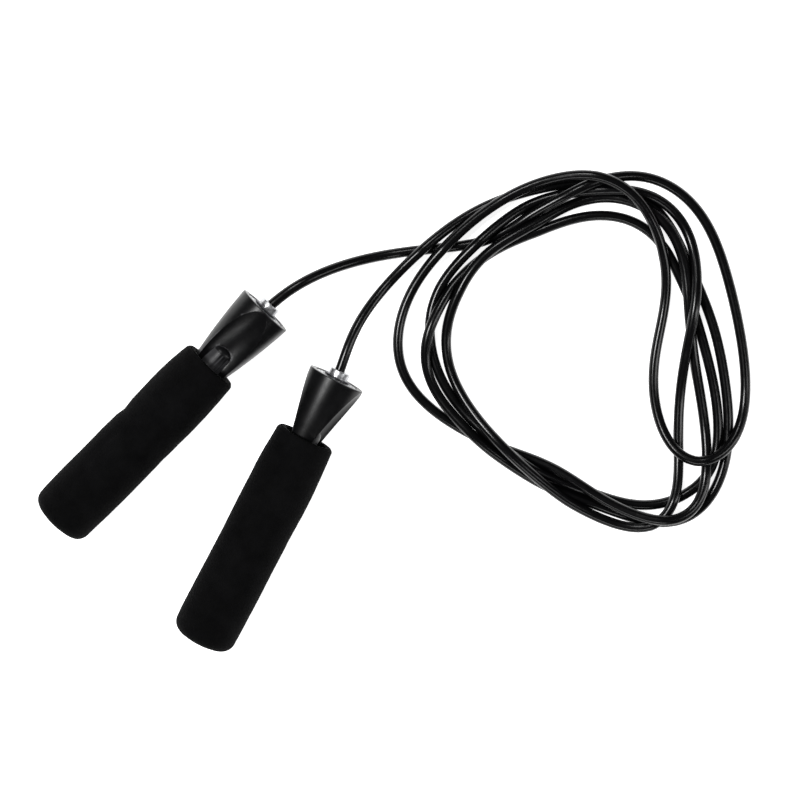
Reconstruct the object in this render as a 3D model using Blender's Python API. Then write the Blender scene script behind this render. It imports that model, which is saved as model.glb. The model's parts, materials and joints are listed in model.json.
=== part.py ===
"""Ball-bearing jump rope: two foam-covered handles with tulip-shaped heads, joined by one PVC rope.

Units: the tables below are in millimetres, the scene is in metres, +Z up.
Each handle is modelled along its own X axis, from the butt (h = 0) to the mouth (h = 163),
under an empty that sits on the handle's spin axis at the butt.
Origin: on the floor, at the middle of the box round the two handles. +Y runs away from the user's side.
"""
import bpy
import bmesh
import math
from mathutils import Vector

MM = 0.001

# ---------------------------------------------------------------- driving dimensions (mm)
AXIS_Z = 18.0            # height of both handle axes: the foam rests on the floor
HANDLE_LEN = 163.0       # butt to mouth
FOAM_R = 18.0            # outside radius of the foam
FOAM_BORE_R = 10.8
FOAM_START = 0.6
FOAM_BUTT_EDGE = 6.5     # rounding of the foam's butt end
FOAM_TOP_EDGE = 2.0      # rounding of its top end
FOAM_TOP_R = 16.5        # it draws in a little at the top
FOAM_TAPER = 14.0
TUBE_R = 10.5            # tube inside the foam
TUBE_START = 1.9
TUBE_END = 118.0         # the scoops stop at this wall, inside the foam
TUBE_BORE_R = 8.0
CORE_R = 7.2             # round core that shows inside the scoops
CORE_END = 134.0
CORE_EDGE = 4.6          # rounding of its end
CORE_BORE_R = 4.6
CORE_BORE_END = 128.0    # blind end of the bore: the neck ahead of it is solid
POCKET_START = 142.0     # pocket for the ferrule
POCKET_R = 4.8
FLANGE_POCKET_START = 149.6   # wider pocket for the sleeve's flange and the spacer
FLANGE_POCKET_R = 7.3
SEAT_START = 156.3       # bearing seat
SEAT_R = 12.3
SEAT_CHAMFER = 0.8
HEAD_START, HEAD_END = 121.0, 162.5
NECK_R = 10.6            # the head flares from this radius
MOUTH_R = 15.85          # to this one
HEAD_BULGE = 0.5         # how full the flare is: 0 is a straight cone
SCOOP_R = 16.0           # radius of each scoop's trough, across the handle
SCOOP_LOW = 116.0        # where the trough's floor is nearest to the axis
SCOOP_DEPTH = 2.4        # how near that is
SCOOP_BEND_R = 86.0      # the floor curves up from there on this radius, and runs out just short of the mouth

BRG_H0, BRG_H1 = 156.6, 162.6    # thin-section ball bearing, 12 x 24 x 6
BRG_BORE_R = 6.0
BRG_OUT_R = 12.0
BRG_PITCH_R = 9.0
BRG_INNER_SHOULDER = 7.9
BRG_OUTER_SHOULDER = 10.1
GROOVE_R = 1.95
BALL_R = 1.6
BALLS = 8
CAGE_R0, CAGE_R1 = 8.5, 9.5
CAGE_HALF = 2.3
POCKET_HOLE_R = 1.95

SLEEVE_R = 5.7           # chrome collar
SLEEVE_BORE_R = 3.1
SLEEVE_H0, SLEEVE_H1 = 150.5, 167.6
SLEEVE_FLANGE_R = 6.9
SLEEVE_FLANGE_H = 1.9
ROPE_R = 2.8             # PVC rope, 5.6 mm
ROPE_END_H = 143.2       # where the rope ends inside the handle

# butt point on the spin axis (x, y), heading of the axis and roll of the scoops (degrees), foam's top end
HANDLES = {
    "left": dict(butt=(-78.77, -27.54), heading=45.17, roll=3.0, foam_top=121.0),
    "right": dict(butt=(-0.77, -93.50), heading=62.48, roll=76.0, foam_top=127.0),
}

# Way of the rope over the floor: (x, y) points set by hand for each stretch, from the left mouth to the right one.
LEFT_LEAD = [(54, 102), (81.5, 113), (108.5, 118.5), (138.5, 122), (160.5, 125.5), (178, 136), (193, 145),
             (209, 153.5)]
TURNS = [
    # over the top, down the far right side, a tight turn back, and up the inside
    [(224, 159.5), (234.5, 161), (244.5, 159), (255.5, 155), (266.5, 146.5), (277.5, 131.5), (286, 109),
     (294.5, 76.5), (297.5, 54.5), (298, 43.5), (296.5, 27), (292, 17), (282.5, 7), (272, 1.5), (262, 6), (256, 16),
     (249.5, 32.5), (247.5, 49), (248.5, 65.5), (252, 82), (255, 98), (253.5, 109), (250, 125.5), (242, 142.5),
     (232.5, 152)],
    # the widest turn: over the top, round the far left, along the bottom and up the right
    [(217.5, 159), (201, 159.5), (184.5, 156.5), (168.5, 150), (150.5, 137.5), (134.5, 123.5), (122, 109),
     (112.5, 92.5), (108, 76.5), (108, 60), (112, 49), (120, 38), (132.5, 28), (148.5, 19), (169, 9), (191, -1.5),
     (210.5, -11.5), (230, -21), (249.5, -27.5), (263, -28), (272.5, -20), (277, -7), (277.5, 7.5), (276, 24),
     (273.5, 40.5), (270, 59), (267.5, 79), (266, 98), (263.5, 113.5), (258, 126.5), (250, 138.5), (238, 147)],
    # the innermost on the left, the lowest at the bottom
    [(224, 150), (209, 148.5), (193, 141.5), (179.5, 133), (161.5, 122), (145, 108.5), (138, 92.5), (133.5, 76.5),
     (134.5, 60), (140.5, 43.5), (152, 26.5), (169, 9), (187, -7), (203.5, -18.5), (220, -27), (236, -33),
     (246, -33), (253.5, -29), (258.5, -21.5), (261, -6.5), (261.5, 10.5), (261.5, 27), (262.5, 43.5), (264.5, 60),
     (266, 76.5), (268, 92.5), (269.5, 109), (267, 125), (259, 140), (249, 147), (238.5, 151)],
    # the highest along the bottom, then a wide sweep to the right and back under the top
    [(224, 152.5), (206.5, 153.5), (190, 149), (174, 141), (157.5, 129.5), (141.5, 114.5), (132.5, 101.5),
     (127.5, 87.5), (125, 73.5), (127, 59), (133.5, 46), (142.5, 33), (159.5, 15.5), (174.5, 5), (191, -4),
     (214.5, -13), (230, -19.5), (241, -21), (256.5, -18.5), (270, -11.5), (279.5, 2), (283, 18.5), (282, 38),
     (279, 54.5), (273.5, 70.5), (268.5, 84.5), (261.5, 102.5), (254.5, 117.5), (248, 127.5), (239.5, 134.5)],
    # the inside at the top, the outermost at the bottom right
    [(223, 138.5), (206.5, 138), (190.5, 134), (168.5, 125.5), (147.5, 110.5), (135, 95.5), (127.5, 85), (123, 73),
     (122, 60), (125.5, 47.5), (133.5, 35), (144.5, 23.5), (158.5, 11.5), (178.5, -2.5), (202.5, -14.5),
     (227, -23.5), (244, -29), (257.5, -31), (269.5, -27), (279, -17.5), (285.5, -3.5), (289, 12), (289, 28),
     (287.5, 43.5), (284.5, 60), (279.5, 82), (272.5, 97.5), (263.5, 116.5), (256.5, 131.5), (244.5, 145)],
]
RIGHT_LEAD = [(231, 151.5), (212, 154), (195.5, 154), (176.5, 151), (157.5, 145), (141.5, 136), (125, 124),
              (108.5, 108.5), (94.5, 92.5), (83.5, 76.5), (78, 65.5)]
LEFT_LEAD_STOP = (122.5, 119.7)   # where each lead meets the looped bundle
RIGHT_LEAD_STOP = (124.5, 122.5)
COIL_CENTRE = (195.5, 61.9)
COIL_HEIGHT = 11.0
COIL_STEPS = 72

# ---------------------------------------------------------------- scene
for ob in list(bpy.data.objects):
    bpy.data.objects.remove(ob, do_unlink=True)


def material(name, colour, roughness, metallic=0.0):
    m = bpy.data.materials.new(name)
    m.use_nodes = True
    p = m.node_tree.nodes["Principled BSDF"]
    p.inputs["Base Color"].default_value = (*colour, 1.0)
    p.inputs["Roughness"].default_value = roughness
    p.inputs["Metallic"].default_value = metallic
    return m


MAT = {
    "foam": material("foam", (0.012, 0.012, 0.013), 0.92),
    "abs": material("abs_plastic", (0.020, 0.020, 0.022), 0.32),
    "cap": material("cap_plastic", (0.018, 0.018, 0.020), 0.45),
    "steel": material("bearing_steel", (0.62, 0.62, 0.64), 0.22, 1.0),
    "chrome": material("chrome", (0.80, 0.80, 0.82), 0.08, 1.0),
    "nylon": material("cage_nylon", (0.55, 0.50, 0.40), 0.5),
    "dark": material("dark_steel", (0.08, 0.08, 0.09), 0.35, 1.0),
    "brass": material("ferrule_brass", (0.55, 0.38, 0.16), 0.35, 1.0),
    "pvc": material("pvc_rope", (0.012, 0.012, 0.013), 0.18),
}


def add(name, mesh, mat=None, parent=None, cutter=False):
    ob = bpy.data.objects.new(name, mesh)
    bpy.context.scene.collection.objects.link(ob)
    if mat:
        mesh.materials.append(MAT[mat])
    if parent:
        ob.parent = parent
    if cutter:
        ob.hide_render = True
        ob.display_type = "WIRE"
    return ob


def turned(name, profile, steps=40):
    """Mesh turned about X from a closed outline of (h, r) points; points with r = 0 lie on the axis."""
    bm = bmesh.new()
    vs = [bm.verts.new((h * MM, 0.0, r * MM)) for h, r in profile]
    es = [bm.edges.new((vs[i], vs[(i + 1) % len(vs)])) for i in range(len(vs))
          if not (profile[i][1] == 0.0 and profile[(i + 1) % len(vs)][1] == 0.0)]
    bmesh.ops.spin(bm, geom=vs + es, cent=(0, 0, 0), axis=(1, 0, 0), angle=2 * math.pi,
                   steps=steps, use_merge=True)
    bmesh.ops.remove_doubles(bm, verts=bm.verts, dist=1e-6)
    bmesh.ops.recalc_face_normals(bm, faces=bm.faces)
    me = bpy.data.meshes.new(name)
    bm.to_mesh(me)
    bm.free()
    me.shade_smooth()
    me.set_sharp_from_angle(angle=math.radians(35))
    return me


def boolean(ob, cutter, op):
    m = ob.modifiers.new(op.lower() + "_" + cutter.name, "BOOLEAN")
    m.object = cutter
    m.operation = op
    m.solver = "EXACT"
    return m


def arc(ch, cr, radius, a0, a1, n):
    """Points on an arc round (ch, cr); angles in degrees, 0 along +h, 90 along +r."""
    return [(ch + radius * math.cos(math.radians(a0 + (a1 - a0) * i / n)),
             cr + radius * math.sin(math.radians(a0 + (a1 - a0) * i / n))) for i in range(n + 1)]


def foam_outline(h0, h1):
    """Outline of the foam sleeve: domed butt end, drawn in towards the top, its bore opening where it meets
    the head's flare."""
    eb, et = FOAM_BUTT_EDGE, FOAM_TOP_EDGE
    step = 118.5
    out = arc(h0 + eb, FOAM_R - eb, eb, 180, 90, 5) + [(h1 - FOAM_TAPER, FOAM_R), (h1 - FOAM_TAPER / 2, FOAM_R - 0.6)] + \
        arc(h1 - et, FOAM_TOP_R - et, et, 80, 0, 3)
    return [(h0, FOAM_BORE_R)] + out + [(h1, head_radius(h1) + 0.4), (step + 1.2, NECK_R + 0.5),
                                        (step, FOAM_BORE_R)]


def head_radius(h):
    """The head's flare: a cone with a parabolic bulge on it."""
    u = max(0.0, min(1.0, (h - HEAD_START) / (HEAD_END - HEAD_START)))
    return NECK_R + (MOUTH_R - NECK_R) * (u + HEAD_BULGE * u * (1.0 - u))


def head_outline(steps):
    """The flare, with a small edge at the mouth."""
    rise = [HEAD_START + (HEAD_END - HEAD_START) * i / steps for i in range(steps + 1)]
    return [(h, head_radius(h)) for h in rise] + [(HANDLE_LEN, MOUTH_R - 0.4)]


# ---------------------------------------------------------------- handle body: tube, head, scoops, core
def bent_trough(name, steps=24, sides=36):
    """A round bar of radius SCOOP_R bent in the XZ plane: its outermost line, straight below its centre of
    curvature at the origin, is SCOOP_BEND_R away."""
    span = math.radians(52.0)
    bm = bmesh.new()
    rings = []
    for i in range(steps + 1):
        a = span * (2 * i / steps - 1)
        ring = []
        for k in range(sides):
            t = 2 * math.pi * k / sides
            r = SCOOP_BEND_R - SCOOP_R + SCOOP_R * math.cos(t)
            ring.append(bm.verts.new((r * math.sin(a) * MM, SCOOP_R * math.sin(t) * MM, -r * math.cos(a) * MM)))
        rings.append(ring)
    for la, lb in zip(rings, rings[1:]):
        for k in range(sides):
            j = (k + 1) % sides
            bm.faces.new((la[k], la[j], lb[j], lb[k]))
    bm.faces.new(rings[0])
    bm.faces.new(list(reversed(rings[-1])))
    bmesh.ops.recalc_face_normals(bm, faces=bm.faces)
    me = bpy.data.meshes.new(name)
    bm.to_mesh(me)
    bm.free()
    return me


def handle_body(name, parent):
    outer = [(TUBE_END - 2.0, 0.0), (TUBE_END - 2.0, TUBE_R - 0.6), (TUBE_END + 1.0, TUBE_R)] + head_outline(11) + \
        [(HANDLE_LEN, 0.0)]
    ob = add(name, turned(name, outer, 40), "abs", parent)

    # scoops: round troughs on opposite sides, each bent away from the axis
    for k, side in enumerate((1, -1)):
        cut = add(f"{name}_scoop_{k}", bent_trough(f"{name}_scoop_{k}"), None, parent, cutter=True)
        cut.location = Vector((SCOOP_LOW, 0.0, side * (SCOOP_DEPTH + SCOOP_BEND_R))) * MM
        if side < 0:
            cut.rotation_euler = (math.pi, 0.0, 0.0)
        boolean(ob, cut, "DIFFERENCE")

    core = [(113.0, 0.0), (113.0, CORE_R)] + \
        arc(CORE_END - CORE_EDGE, CORE_R - CORE_EDGE, CORE_EDGE, 90, 15, 4) + [(CORE_END, 0.0)]
    core_ob = add(name + "_core", turned(name + "_core", core, 28), None, parent, cutter=True)
    boolean(ob, core_ob, "UNION")
    tube = [(TUBE_START, 0.0), (TUBE_START, TUBE_R), (TUBE_END, TUBE_R), (TUBE_END, 0.0)]
    tube_ob = add(name + "_tube", turned(name + "_tube", tube, 40), None, parent, cutter=True)
    boolean(ob, tube_ob, "UNION")

    bore = [(-5.0, 0.0), (-5.0, TUBE_BORE_R), (111.0, TUBE_BORE_R), (112.5, CORE_BORE_R),
            (CORE_BORE_END - 1.0, CORE_BORE_R), (CORE_BORE_END, CORE_BORE_R - 1.0), (CORE_BORE_END, 0.0)]
    pocket = [(POCKET_START, 0.0), (POCKET_START, POCKET_R), (FLANGE_POCKET_START, POCKET_R),
              (FLANGE_POCKET_START + 0.5, FLANGE_POCKET_R), (SEAT_START, FLANGE_POCKET_R),
              (SEAT_START, SEAT_R - SEAT_CHAMFER), (SEAT_START + SEAT_CHAMFER, SEAT_R), (170.0, SEAT_R), (170.0, 0.0)]
    pocket_ob = add(name + "_pocket", turned(name + "_pocket", pocket, 32), None, parent, cutter=True)
    boolean(ob, pocket_ob, "DIFFERENCE")
    bore_ob = add(name + "_bore", turned(name + "_bore", bore, 32), None, parent, cutter=True)
    boolean(ob, bore_ob, "DIFFERENCE")
    return ob


# ---------------------------------------------------------------- one handle with its bearing and end fittings
def build_handle(side, spec):
    frame = bpy.data.objects.new(side + "_axis", None)
    bpy.context.scene.collection.objects.link(frame)
    frame.location = Vector((spec["butt"][0], spec["butt"][1], AXIS_Z)) * MM
    frame.rotation_euler = (math.radians(spec["roll"]), 0.0, math.radians(spec["heading"]))

    handle_body(side + "_handle_body", frame)
    add(side + "_foam_grip", turned(side + "_foam_grip", foam_outline(FOAM_START, spec["foam_top"]), 32), "foam", frame)
    cap = [(0.0, 0.0), (0.0, 9.6), (0.5, 10.2), (1.6, 10.2), (1.6, 7.6), (11.0, 7.6), (12.0, 6.9), (12.0, 0.0)]
    add(side + "_end_cap", turned(side + "_end_cap", cap, 28), "cap", frame)

    mid = (BRG_H0 + BRG_H1) / 2
    half = math.degrees(math.acos((BRG_PITCH_R - BRG_INNER_SHOULDER) / GROOVE_R))
    groove_in = arc(mid, BRG_PITCH_R, GROOVE_R, 270 + half, 270 - half, 4)
    groove_out = arc(mid, BRG_PITCH_R, GROOVE_R, 90 + half, 90 - half, 4)
    inner = [(BRG_H0, BRG_BORE_R), (BRG_H0, BRG_INNER_SHOULDER)] + groove_in[::-1] + \
            [(BRG_H1, BRG_INNER_SHOULDER), (BRG_H1, BRG_BORE_R)]
    outer = [(BRG_H0 + 0.6, BRG_OUT_R), (BRG_H0, BRG_OUT_R - 0.6), (BRG_H0, BRG_OUTER_SHOULDER)] + groove_out + \
            [(BRG_H1, BRG_OUTER_SHOULDER), (BRG_H1, BRG_OUT_R - 0.3), (BRG_H1 - 0.3, BRG_OUT_R)]
    add(side + "_bearing_inner_race", turned(side + "_bearing_inner_race", inner, 28), "steel", frame)
    add(side + "_bearing_outer_race", turned(side + "_bearing_outer_race", outer, 28), "steel", frame)

    cage = [(mid - CAGE_HALF, CAGE_R0), (mid - CAGE_HALF, CAGE_R1), (mid + CAGE_HALF, CAGE_R1), (mid + CAGE_HALF, CAGE_R0)]
    cage_ob = add(side + "_bearing_cage", turned(side + "_bearing_cage", cage, 32), "nylon", frame)
    for i in range(BALLS):
        a = 2 * math.pi * i / BALLS
        d = Vector((0.0, math.cos(a), math.sin(a)))
        bm = bmesh.new()
        bmesh.ops.create_icosphere(bm, subdivisions=2, radius=BALL_R * MM)
        me = bpy.data.meshes.new(f"{side}_bearing_ball_{i + 1}")
        bm.to_mesh(me)
        bm.free()
        me.shade_smooth()
        ball = add(me.name, me, "steel", frame)
        ball.location = (Vector((mid, 0, 0)) + d * BRG_PITCH_R) * MM

        bm = bmesh.new()
        bmesh.ops.create_cone(bm, cap_ends=True, segments=8, radius1=POCKET_HOLE_R * MM,
                              radius2=POCKET_HOLE_R * MM, depth=4.0 * MM)
        me = bpy.data.meshes.new(f"{side}_cage_hole_{i + 1}")
        bm.to_mesh(me)
        bm.free()
        hole = add(me.name, me, None, frame, cutter=True)
        hole.location = (Vector((mid, 0, 0)) + d * BRG_PITCH_R) * MM
        hole.rotation_euler = d.to_track_quat("Z", "X").to_euler()
        boolean(cage_ob, hole, "DIFFERENCE")

    shield = lambda h: [(h, 8.3), (h, 9.8), (h + 0.35, 9.8), (h + 0.35, 8.3)]
    add(side + "_rear_shield", turned(side + "_rear_shield", shield(BRG_H0), 24), "steel", frame)
    add(side + "_front_shield", turned(side + "_front_shield", shield(BRG_H1 - 0.35), 24), "steel", frame)

    sleeve = [(SLEEVE_H0, SLEEVE_BORE_R), (SLEEVE_H0, SLEEVE_FLANGE_R),
              (SLEEVE_H0 + SLEEVE_FLANGE_H, SLEEVE_FLANGE_R), (SLEEVE_H0 + SLEEVE_FLANGE_H, SLEEVE_R),
              (SLEEVE_H1 - 0.5, SLEEVE_R), (SLEEVE_H1, SLEEVE_R - 0.5), (SLEEVE_H1, SLEEVE_BORE_R)]
    add(side + "_rope_sleeve", turned(side + "_rope_sleeve", sleeve, 24), "chrome", frame)
    h = SLEEVE_H0 + SLEEVE_FLANGE_H + 0.3
    spacer = [(h, 6.0), (h, 6.9), (BRG_H0 - 0.3, 6.9), (BRG_H0 - 0.3, 6.0)]
    add(side + "_spacer", turned(side + "_spacer", spacer, 24), "dark", frame)
    h = BRG_H1 + 0.3
    ring = [(h, 6.0), (h, 7.4), (h + 0.9, 7.4), (h + 0.9, 6.0)]
    add(side + "_retaining_ring", turned(side + "_retaining_ring", ring, 24), "dark", frame)
    ferrule = [(142.6, SLEEVE_BORE_R), (142.6, 4.0), (143.0, 4.3), (SLEEVE_H0 - 0.7, 4.3), (SLEEVE_H0 - 0.3, 4.0),
               (SLEEVE_H0 - 0.3, SLEEVE_BORE_R)]
    add(side + "_rope_ferrule", turned(side + "_rope_ferrule", ferrule, 16), "brass", frame)

    a = math.radians(spec["heading"])
    return Vector((spec["butt"][0], spec["butt"][1], AXIS_Z)), Vector((math.cos(a), math.sin(a), 0.0))


AXES = {side: build_handle(side, spec) for side, spec in HANDLES.items()}


# ---------------------------------------------------------------- rope
def smooth_curve(points, spacing):
    """Centripetal Catmull-Rom curve through the points, read off about every `spacing`."""
    pts = [Vector(p) for p in points]
    pts = [pts[0] * 2 - pts[1]] + pts + [pts[-1] * 2 - pts[-2]]
    dense = []
    for p0, p1, p2, p3 in zip(pts, pts[1:], pts[2:], pts[3:]):
        t0 = 0.0
        t1 = t0 + math.sqrt((p1 - p0).length)
        t2 = t1 + math.sqrt((p2 - p1).length)
        t3 = t2 + math.sqrt((p3 - p2).length)
        for i in range(24):
            t = t1 + (t2 - t1) * i / 24
            a1 = p0 * ((t1 - t) / (t1 - t0)) + p1 * ((t - t0) / (t1 - t0))
            a2 = p1 * ((t2 - t) / (t2 - t1)) + p2 * ((t - t1) / (t2 - t1))
            a3 = p2 * ((t3 - t) / (t3 - t2)) + p3 * ((t - t2) / (t3 - t2))
            b1 = a1 * ((t2 - t) / (t2 - t0)) + a2 * ((t - t0) / (t2 - t0))
            b2 = a2 * ((t3 - t) / (t3 - t1)) + a3 * ((t - t1) / (t3 - t1))
            dense.append(b1 * ((t2 - t) / (t2 - t1)) + b2 * ((t - t1) / (t2 - t1)))
    dense.append(pts[-2])
    total = sum((b - a).length for a, b in zip(dense, dense[1:]))
    n = max(2, round(total / spacing))
    out, run, k = [dense[0]], 0.0, 1
    for a, b in zip(dense, dense[1:]):
        seg = (b - a).length
        while k < n and run + seg >= total * k / n:
            out.append(a.lerp(b, (total * k / n - run) / seg))
            k += 1
        run += seg
    out.append(dense[-1])
    return out


def tube(name, points):
    cu = bpy.data.curves.new(name, "CURVE")
    cu.dimensions = "3D"
    cu.bevel_depth = ROPE_R * MM
    cu.bevel_resolution = 2
    cu.use_fill_caps = True
    cu.render_resolution_u = 0
    sp = cu.splines.new("POLY")
    sp.points.add(len(points) - 1)
    for q, p in zip(sp.points, points):
        q.co = (p.x * MM, p.y * MM, p.z * MM, 1.0)
    cu.materials.append(MAT["pvc"])
    ob = bpy.data.objects.new(name, cu)
    bpy.context.scene.collection.objects.link(ob)
    return ob


def nearest_index(points, xy, lo, hi):
    return min(range(lo, hi), key=lambda i: (points[i][0] - xy[0]) ** 2 + (points[i][1] - xy[1]) ** 2)


def ease(t):
    t = max(0.0, min(1.0, t))
    return t * t * (3 - 2 * t)


def lead(name, side, floor_points, low_z, drop):
    """From the ferrule out of the sleeve, easing down from the axis to the floor over `drop` mm."""
    base, axis = AXES[side]
    start = base + axis * ROPE_END_H
    mouth = base + axis * (SLEEVE_H1 + 2.0)
    way = [start, base + axis * 155.0, mouth]
    run, last = 0.0, mouth
    for x, y in floor_points:
        run += math.hypot(x - last.x, y - last.y)
        way.append(Vector((x, y, low_z(run) + (AXIS_Z - low_z(run)) * (1 - ease(run / drop)))))
        last = way[-1]
    pts = smooth_curve(way, 9.0)
    return tube(name, [Vector((p.x, p.y, max(p.z, ROPE_R + 0.05))) for p in pts])


LOW = ROPE_R + 0.1
MOUTHS = {side: base + axis * SLEEVE_H1 for side, (base, axis) in AXES.items()}
ROUTE = [(MOUTHS["left"].x, MOUTHS["left"].y)] + LEFT_LEAD + [p for turn in TURNS for p in turn] + RIGHT_LEAD + \
        [(MOUTHS["right"].x, MOUTHS["right"].y)]
i_left = nearest_index(ROUTE, LEFT_LEAD_STOP, 0, 12)
i_right = nearest_index(ROUTE, RIGHT_LEAD_STOP, len(ROUTE) - 12, len(ROUTE))
left_floor = [p for p in ROUTE[1:i_left + 1] if p[0] < LEFT_LEAD_STOP[0] - 6] + [LEFT_LEAD_STOP]
right_floor = [p for p in reversed(ROUTE[i_right:-1]) if p[0] < RIGHT_LEAD_STOP[0] - 6] + [RIGHT_LEAD_STOP]
lead("rope_lead_left", "left", left_floor, lambda s: LOW, 62.0)
# the right lead lies on the left one where they cross, a diameter higher
lead("rope_lead_right", "right", right_floor, lambda s: LOW + 6.0 * ease((s - 30.0) / 30.0), 60.0)


def looped_bundle():
    """Ring with the outline of the looped rope: for each direction from its middle, out to the
    outermost strand and in to the innermost one, a rope radius beyond their centre lines."""
    cx, cy = COIL_CENTRE
    strands = [Vector((x, y, 0.0)) for x, y in ROUTE]
    dense = smooth_curve(strands, 1.5)
    i0 = next(i for i, p in enumerate(dense) if p.x > LEFT_LEAD_STOP[0] + 6)
    i1 = max(i for i, p in enumerate(dense) if p.x > RIGHT_LEAD_STOP[0] + 9)
    r_in, r_out = [1e9] * COIL_STEPS, [0.0] * COIL_STEPS
    turn = COIL_STEPS / (2 * math.pi)
    for p, q in zip(dense[i0:i1], dense[i0 + 1:i1]):
        u0, u1 = math.atan2(p.y - cy, p.x - cx) * turn, math.atan2(q.y - cy, q.x - cx) * turn
        if u1 - u0 > COIL_STEPS / 2:
            u1 -= COIL_STEPS
        elif u0 - u1 > COIL_STEPS / 2:
            u1 += COIL_STEPS
        r0, r1 = math.hypot(p.x - cx, p.y - cy), math.hypot(q.x - cx, q.y - cy)
        for k in range(math.ceil(min(u0, u1)), math.floor(max(u0, u1)) + 1):
            r = r0 + (r1 - r0) * (k - u0) / (u1 - u0) if u1 != u0 else r0
            r_in[k % COIL_STEPS] = min(r_in[k % COIL_STEPS], r)
            r_out[k % COIL_STEPS] = max(r_out[k % COIL_STEPS], r)
    bm = bmesh.new()
    top, low, ch = COIL_HEIGHT, 0.0, 2.0
    loops = []
    for which, dr, z in ((0, ROPE_R - ch, low), (0, ROPE_R, low + ch), (0, ROPE_R, top - ch), (0, ROPE_R - ch, top),
                         (1, -(ROPE_R - ch), top), (1, -ROPE_R, top - ch), (1, -ROPE_R, low + ch),
                         (1, -(ROPE_R - ch), low)):
        loop = []
        for k in range(COIL_STEPS):
            a = 2 * math.pi * k / COIL_STEPS
            r = (r_out if which == 0 else r_in)[k] + dr
            loop.append(bm.verts.new(((cx + r * math.cos(a)) * MM, (cy + r * math.sin(a)) * MM, z * MM)))
        loops.append(loop)
    for la, lb in zip(loops, loops[1:] + loops[:1]):
        for k in range(COIL_STEPS):
            j = (k + 1) % COIL_STEPS
            bm.faces.new((la[k], la[j], lb[j], lb[k]))
    bmesh.ops.recalc_face_normals(bm, faces=bm.faces)
    me = bpy.data.meshes.new("rope_coil")
    bm.to_mesh(me)
    bm.free()
    me.shade_smooth()
    me.set_sharp_from_angle(angle=math.radians(35))
    return add("rope_coil", me, "pvc")


looped_bundle()
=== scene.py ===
"""Looks of the jump rope: the rope laid as one length of PVC, the foam grips, the moulded heads and the bearings.

Lengths in the tables are millimetres in the CAD frame; h runs along a handle from its butt (0) to its mouth (163).
"""
import json
import math

import bmesh
import bpy
import numpy as np
from mathutils import Matrix, Vector, noise


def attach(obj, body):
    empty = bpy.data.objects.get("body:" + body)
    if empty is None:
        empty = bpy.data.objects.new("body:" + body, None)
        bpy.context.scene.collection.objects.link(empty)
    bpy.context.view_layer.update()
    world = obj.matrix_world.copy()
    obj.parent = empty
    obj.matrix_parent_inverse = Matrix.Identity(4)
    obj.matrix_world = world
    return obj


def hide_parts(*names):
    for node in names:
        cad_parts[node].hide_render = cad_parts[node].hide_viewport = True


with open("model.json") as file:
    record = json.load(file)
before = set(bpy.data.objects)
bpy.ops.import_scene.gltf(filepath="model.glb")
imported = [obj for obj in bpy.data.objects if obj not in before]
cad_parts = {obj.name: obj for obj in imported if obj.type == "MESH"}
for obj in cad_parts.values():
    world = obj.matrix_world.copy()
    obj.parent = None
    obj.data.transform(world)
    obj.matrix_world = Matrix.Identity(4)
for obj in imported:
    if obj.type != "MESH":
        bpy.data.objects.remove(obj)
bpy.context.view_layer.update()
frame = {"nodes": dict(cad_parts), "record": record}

MM = 0.001

# ---------------------------------------------------------------- the handles' places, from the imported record
AXIS_Z = 18.0
MOUTH = 163.0
SIDES = ("left", "right")
PLACE = {}
for j in frame["record"]["behaviour"]["joints"]:
    for side in SIDES:
        if j["name"] == side + "_handle_spin":
            PLACE[side] = (Vector(j["pos_m"]), Vector(j["axis"]).normalized())
ROLL = {"left": 3.0, "right": 76.0}
FOAM_TOP = {"left": 121.0, "right": 127.0}
SLEEVE_END = 167.6
ROPE_END = 143.2
ROPE_R = 2.8
ROPE_D = 5.6


def handle_matrix(side, roll=None):
    base, axis = PLACE[side]
    r = ROLL[side] if roll is None else roll
    return (Matrix.Translation(base) @ Matrix.Rotation(math.atan2(axis.y, axis.x), 4, "Z")
            @ Matrix.Rotation(math.radians(r), 4, "X"))


def axis_point(side, h):
    base, axis = PLACE[side]
    return (base + axis * (h * MM)) / MM


# ---------------------------------------------------------------- camera
PHOTO_W, PHOTO_H = 795, 796
CAM_DIST = 1.2
CAM_SCALE = 0.00055                    # metres per pixel on the floor, at the middle of the view
CAM_TILT = math.radians(5.5)
CAM_TARGET = Vector((107.35, 38.63, 0.0)) * MM

cam_data = bpy.data.cameras.new("camera")
cam = bpy.data.objects.new("camera", cam_data)
bpy.context.scene.collection.objects.link(cam)
back = Vector((0.0, math.sin(CAM_TILT), math.cos(CAM_TILT)))
up = Vector((0.0, math.cos(CAM_TILT), -math.sin(CAM_TILT)))
cam.matrix_world = Matrix.Translation(CAM_TARGET + back * CAM_DIST) @ Matrix(
    (Vector((1, 0, 0)), up, back)).transposed().to_4x4()
cam_data.sensor_width = 36.0
cam_data.sensor_fit = "HORIZONTAL"
cam_data.lens = 36.0 * (CAM_DIST / CAM_SCALE) / PHOTO_W
cam_data.clip_start, cam_data.clip_end = 0.05, 20.0
bpy.context.scene.camera = cam


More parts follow.
